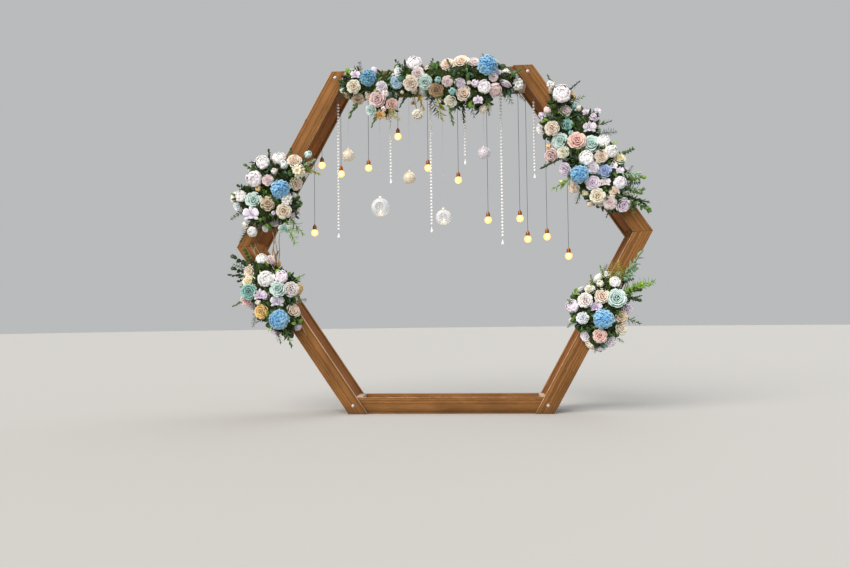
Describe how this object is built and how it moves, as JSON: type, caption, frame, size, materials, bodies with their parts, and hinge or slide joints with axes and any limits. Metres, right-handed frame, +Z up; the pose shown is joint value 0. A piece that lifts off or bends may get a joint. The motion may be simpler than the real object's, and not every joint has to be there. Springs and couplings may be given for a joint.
{
  "type": "hexagonal wedding arch",
  "caption": "Free-standing hexagonal wedding arch of stained boards with silk flower sprays, hanging bead strings, glass balls and small drop lamps.",
  "frame": {"origin": "on the floor, in the middle of the footprint of the timber and the flower sprays together", "axes": "+X to the right seen from the front, +Y from the front to the back, +Z up"},
  "size_m": [2.573, 0.4398, 2.1796],
  "materials": {
    "stained_pine": "brown stain, matt",
    "plain_pine": "unstained, sawn",
    "silk_flowers": "pastel silk petals and green leaves",
    "glass_beads": "clear, faceted",
    "glass_balls": "cream, smooth",
    "clear_glass": "clear, thin",
    "drop_lamps": "warm lit bulb, brown socket",
    "thread": "dark twisted thread",
    "tealight_wax": "white wax in a thin metal cup"
  },
  "bodies": {
    "root": {"front_lower_left_board": "stained_pine", "front_lower_right_board": "stained_pine", "front_upper_left_board": "stained_pine", "front_upper_right_board": "stained_pine", "front_bottom_rail": "stained_pine", "front_top_rail": "stained_pine", "back_lower_left_board": "stained_pine", "back_lower_right_board": "stained_pine", "back_upper_left_board": "stained_pine", "back_upper_right_board": "stained_pine", "back_bottom_rail": "stained_pine", "back_top_rail": "stained_pine", "lower_left_web": "stained_pine", "lower_right_web": "stained_pine", "upper_left_web": "stained_pine", "upper_right_web": "stained_pine", "top_soffit": "stained_pine", "bottom_left_spacer": "plain_pine", "bottom_right_spacer": "plain_pine", "top_left_spacer": "plain_pine", "top_right_spacer": "plain_pine", "upper_left_flower_spray": "silk_flowers", "lower_left_flower_spray": "silk_flowers", "top_flower_spray": "silk_flowers", "upper_right_flower_spray": "silk_flowers", "lower_right_flower_spray": "silk_flowers", "bead_string_1": "glass_beads", "bead_string_2": "glass_beads", "bead_string_3": "glass_beads", "bead_string_4": "glass_beads", "bead_string_5": "glass_beads", "bead_string_6": "glass_beads", "glass_ball_1": "glass_balls", "glass_ball_2": "glass_balls", "glass_ball_3": "glass_balls", "glass_globe_1": "clear_glass", "glass_globe_2": "clear_glass", "globe_thread_1": "thread", "globe_thread_2": "thread", "tealight_1": "tealight_wax", "tealight_2": "tealight_wax", "drop_lamp_01": "drop_lamps", "drop_lamp_02": "drop_lamps", "drop_lamp_03": "drop_lamps", "drop_lamp_04": "drop_lamps", "drop_lamp_05": "drop_lamps", "drop_lamp_06": "drop_lamps", "drop_lamp_07": "drop_lamps", "drop_lamp_08": "drop_lamps", "drop_lamp_09": "drop_lamps", "drop_lamp_10": "drop_lamps", "drop_lamp_11": "drop_lamps", "drop_lamp_12": "drop_lamps"}
  },
  "joints": []
}
